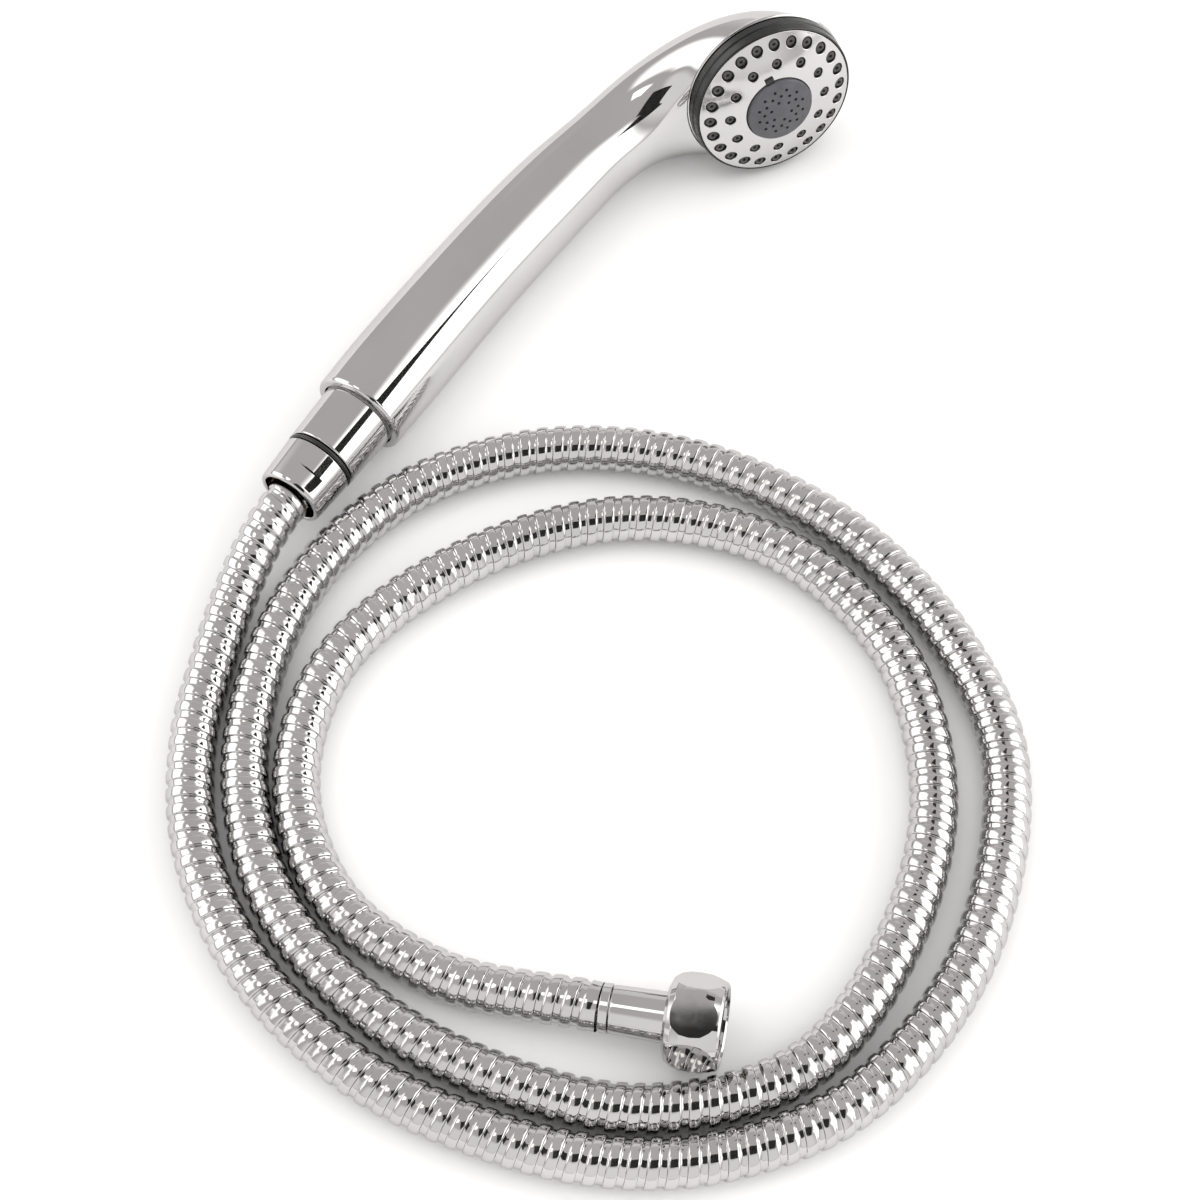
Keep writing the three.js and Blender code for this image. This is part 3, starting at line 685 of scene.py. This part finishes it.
# ---- far end of the hose --------------------------------------------------------------------------------
NUT_FLATS, NUT_TURN, THREAD_BORE, THREAD_PITCH = 24.0, math.radians(10.5), 10.45, 1.814
end_ring = turned("end_ring", [(6.7, -25.6, 0.3), (6.85, -23.0, 0.2), (5.7, -23.0), (5.7, -25.6), (6.7, -25.6, 0.3)],
                  TAIL, "hose", "fitting_chrome", ["end_collar"], segments=96)
sleeve = turned("sleeve", [(6.55, -22.7, 0.25), (6.62, -22.0, 0.3), (7.0, -6.0, 0.5), (7.0, -3.9), (5.7, -3.9),
                           (5.7, -22.7), (6.55, -22.7, 0.25)], TAIL, "hose", "fitting_chrome", ["crimp_sleeve"],
                segments=96)
stem = turned("stem", [(5.4, -22.4), (5.4, -3.6), (7.0, -3.6), (7.0, -3.0), (9.4, -3.0, 0.1), (9.4, -1.6, 0.15),
                       (4.0, -1.6, 0.15), (4.0, -22.4), (5.4, -22.4)], TAIL, "hose", "stem_brass", ["tail_stem"])
gasket = turned("gasket", [(9.8, -1.3, 0.2), (9.8, 0.7, 0.35), (5.0, 0.7, 0.35), (5.0, -1.3, 0.2),
                           (9.8, -1.3, 0.2)], TAIL, "hose", "seal_rubber", ["wall_gasket"])
washer = turned("washer", [(9.8, -4.3, 0.1), (9.8, -3.3, 0.1), (7.3, -3.3, 0.1), (7.3, -4.3, 0.1), (9.8, -4.3, 0.1)],
                TAIL, "slide_washer", "inner_plastic", ["nut_washer"])

NUT_OUTSIDE = [(7.7, -7.75, 0.1), (9.4, -7.75, 0.5), (11.3, -6.9, 0.6), (12.5, -5.2, 1.0), (13.15, -2.8, 2.0),
               (13.3, 0, 3.0), (13.15, 2.8, 2.0), (12.55, 5.2, 1.0), (11.85, 7.2, 0.5), (11.3, 7.78, 0.35),
               (10.95, 7.78, 0.2), (THREAD_BORE + 0.1, 7.2, 0.1)]


def make_nut():
    outside = rounded(NUT_OUTSIDE, 5)
    bore = [(THREAD_BORE + 0.05, 6.9), (THREAD_BORE + 0.05, -4.6), (7.55, -4.6), (7.55, -7.7), outside[0]]
    points, faces = lathe(outside + bore, 180)
    nut = piece("union_nut", points, faces, TAIL, "union_nut", "fitting_chrome", ["wall_nut"])
    corner = NUT_FLATS / 2 / math.cos(math.pi / 6)
    outline = circle(corner, 6, phase=NUT_TURN + math.pi / 6)
    prism = [(x, y, z) for z in (-12, 12) for x, y in outline]
    sides = [(j, (j + 1) % 6, 6 + (j + 1) % 6, 6 + j) for j in range(6)]
    cutter = bare_object("cutter", prism, [tuple(range(6))[::-1], tuple(range(6, 12)), *sides], TAIL)
    boolean(nut, cutter, "INTERSECT")
    nut.data.set_sharp_from_angle(angle=math.radians(14))
    return nut


def make_thread():
    """The nut's internal thread: a helical ridge inside its bore."""
    columns, per_turn = 96, 6
    depth = [0, 0.1, 0.55, 0.65, 0.55, 0.1]
    rows = int(11.0 / THREAD_PITCH) * per_turn
    points = []
    for i in range(rows):
        for j in range(columns):
            z = -4.3 + (i / per_turn + j / columns) * THREAD_PITCH
            z = min(z, 6.9)
            radius = THREAD_BORE - 0.62 + depth[i % per_turn]
            angle = j / columns * TAU
            points.append((radius * math.cos(angle), radius * math.sin(angle), z))
    faces = []
    for i in range(rows - 1):
        for j in range(columns):
            k = (j + 1) % columns
            step = per_turn if k == 0 else 0
            if k == 0:
                if i - per_turn < 0:
                    continue
                faces.append((i * columns + j, (i + 1) * columns + j, (i + 1 + step) * columns,
                              (i + step) * columns) if i + 1 + step < rows else None)
            else:
                faces.append((i * columns + j, (i + 1) * columns + j, (i + 1) * columns + k, i * columns + k))
    return piece("nut_thread", points, [f for f in faces if f], TAIL, "union_nut", "fitting_chrome")


nut = make_nut()
thread = make_thread()

tuple(hose_path[0])
[tuple(p) for p in hose_path]


# ---- surroundings: floor, soft boxes and dark cards -----------------------------------------------------
def make_floor():
    mesh = bpy.data.meshes.new("floor")
    size = 4.0
    mesh.from_pydata([(-size, -size, 0), (size, -size, 0), (size, size, 0), (-size, size, 0)], [], [(0, 1, 2, 3)])
    finish = Finish("floor_paint", roughness=0.9, metallic=0.0)
    finish.tint(finish.noise(3, 2), (0.3, 0.87), (0.7, 0.89))
    mesh.materials.append(finish.material)
    made = bpy.data.objects.new("floor", mesh)
    scene.collection.objects.link(made)
    made.location.z = -0.0004


# the studio round the part: azimuth and elevation of each patch's middle, their half sizes, softness, brightness
BASE_GREY = (0.64, 0.62, 0.615)
PATCHES = [
    {"at": (-150, 26), "half": (48, 26), "soft": (24, 14), "light": (1.05, 1.03, 1.03)},
    {"at": (20, 12), "half": (30, 14), "soft": (20, 10), "light": (0.9, 0.88, 0.88)},
    {"at": (-53, 30), "half": (36, 26), "soft": (14, 12), "light": (2.5, 2.48, 2.45)},
    {"at": (110, 28), "half": (34, 20), "soft": (12, 8), "light": (2.1, 2.07, 2.05)},
    {"at": (108, 70), "half": (24, 7), "soft": (5, 3), "light": (2.4, 2.36, 2.2)},
]


def make_world():
    world = bpy.data.worlds.new("studio")
    world.use_nodes = True
    tree = world.node_tree
    background = tree.nodes["Background"]

    def maths(operation, *inputs):
        node = tree.nodes.new("ShaderNodeMath")
        node.operation = operation
        for socket, value in zip(node.inputs, inputs):
            if isinstance(value, (int, float)):
                socket.default_value = value
            else:
                tree.links.new(value, socket)
        return node.outputs[0]

    direction = tree.nodes.new("ShaderNodeTexCoord").outputs["Generated"]
    parts = tree.nodes.new("ShaderNodeSeparateXYZ")
    tree.links.new(direction, parts.inputs[0])
    azimuth = maths("ARCTAN2", parts.outputs["Y"], parts.outputs["X"])
    elevation = maths("ARCSINE", parts.outputs["Z"])

    def within(angle, middle, half, soft):
        away = maths("ABSOLUTE", maths("WRAP", maths("SUBTRACT", angle, math.radians(middle)), math.pi, -math.pi))
        ramp = tree.nodes.new("ShaderNodeMapRange")
        ramp.interpolation_type = "SMOOTHSTEP"
        tree.links.new(away, ramp.inputs["Value"])
        ramp.inputs["From Min"].default_value = math.radians(half + soft / 2)
        ramp.inputs["From Max"].default_value = math.radians(half - soft / 2)
        return ramp.outputs["Result"]

    colour = None
    for patch in PATCHES:
        share = maths("MULTIPLY", within(azimuth, patch["at"][0], patch["half"][0], patch["soft"][0]),
                      within(elevation, patch["at"][1], patch["half"][1], patch["soft"][1]))
        mix = tree.nodes.new("ShaderNodeMix")
        mix.data_type = "RGBA"
        tree.links.new(share, mix.inputs["Factor"])
        if colour is None:
            mix.inputs[6].default_value = (*BASE_GREY, 1)
        else:
            tree.links.new(colour, mix.inputs[6])
        mix.inputs[7].default_value = (*patch["light"], 1)
        colour = mix.outputs[2]
    tree.links.new(colour, background.inputs["Color"])
    background.inputs["Strength"].default_value = 1.0
    scene.world = world


LAMP_POWER = 26.0


def make_lamp():
    """Soft light from straight above that lifts the floor towards white and isn't mirrored in the chrome."""
    data = bpy.data.lights.new("overhead", "AREA")
    data.shape, data.size, data.size_y, data.energy = "RECTANGLE", 3.0, 3.0, LAMP_POWER
    lamp = bpy.data.objects.new("overhead", data)
    scene.collection.objects.link(lamp)
    lamp.location = (0.0, 0.0, 2.5)
    lamp.visible_glossy = False


# a dark card round the camera, placed from it, and one over the handle's end, given by its corners
CAMERA_CARD = {"right": 110, "behind": 50, "half_width": 250, "half_height": 220}
HANDLE_CARD = [Vector((-50, -104, 219)), Vector((-50, -176, 141)), Vector((94, -132, 195))]


def camera_card():
    back = (CAMERA_AT - LOOK_AT).normalized()
    right = Vector((0, 0, 1)).cross(back).normalized()
    up = back.cross(right)
    middle = CAMERA_AT + right * CAMERA_CARD["right"] + back * CAMERA_CARD["behind"]
    across, upward = right * CAMERA_CARD["half_width"], up * CAMERA_CARD["half_height"]
    return [middle - across - upward, middle + across - upward, middle + across + upward, middle - across + upward]


def make_dark_cards():
    finish = Finish("card_black", roughness=0.95, metallic=0.0)
    finish.tint(finish.noise(4, 2), (0.3, 0.012), (0.7, 0.018))
    for number, corners in enumerate([camera_card(), HANDLE_CARD]):
        mesh = bpy.data.meshes.new(f"dark_card_{number}")
        mesh.from_pydata([corner * MM for corner in corners], [], [tuple(range(len(corners)))])
        mesh.materials.append(finish.material)
        card = bpy.data.objects.new(f"dark_card_{number}", mesh)
        scene.collection.objects.link(card)
        card.visible_camera = card.visible_diffuse = card.visible_shadow = False


make_floor()
make_dark_cards()
make_world()
make_lamp()

scene.view_settings.view_transform = "Standard"
